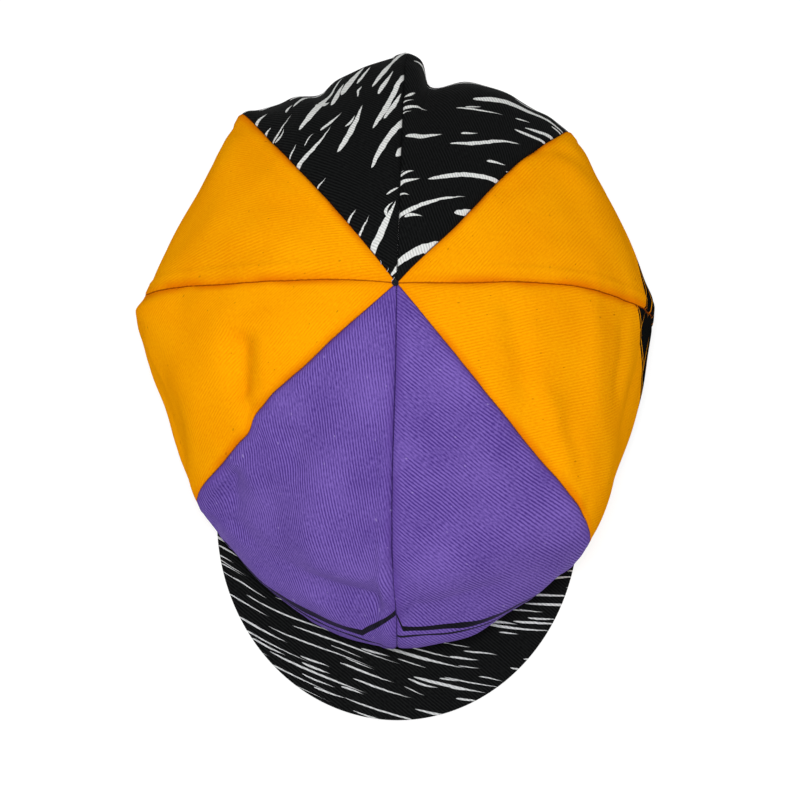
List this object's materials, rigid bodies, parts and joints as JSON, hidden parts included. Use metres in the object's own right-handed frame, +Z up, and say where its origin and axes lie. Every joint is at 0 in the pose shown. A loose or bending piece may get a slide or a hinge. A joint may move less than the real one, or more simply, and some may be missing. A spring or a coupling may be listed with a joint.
{
  "type": "cycling cap",
  "caption": "Soft gored cotton cycling cap with a full crown, an inner head band and a short rounded peak, purple, orange and black.",
  "frame": {"origin": "middle of the cap's bounding box, on the surface that the cap lies on", "axes": "+Z up, -Y towards the peak, +X to the right as seen from above with the peak at the bottom"},
  "size_m": [0.2408, 0.3032, 0.1199],
  "materials": {
    "purple_twill": "matte cotton twill",
    "orange_twill": "matte cotton twill",
    "streaked_twill": "matte cotton twill with white streaks",
    "band_cloth": "matte cotton twill",
    "peak_cloth": "matte cotton twill with thin grey streaks"
  },
  "bodies": {
    "root": {"crown_panel_front_right": "purple_twill", "crown_panel_side_front_right": "orange_twill", "crown_panel_side_back_right": "orange_twill", "crown_panel_back_right": "streaked_twill", "crown_panel_back_left": "streaked_twill", "crown_panel_side_back_left": "orange_twill", "crown_panel_side_front_left": "orange_twill", "crown_panel_front_left": "purple_twill", "head_band": "band_cloth", "peak": "peak_cloth"}
  },
  "joints": []
}
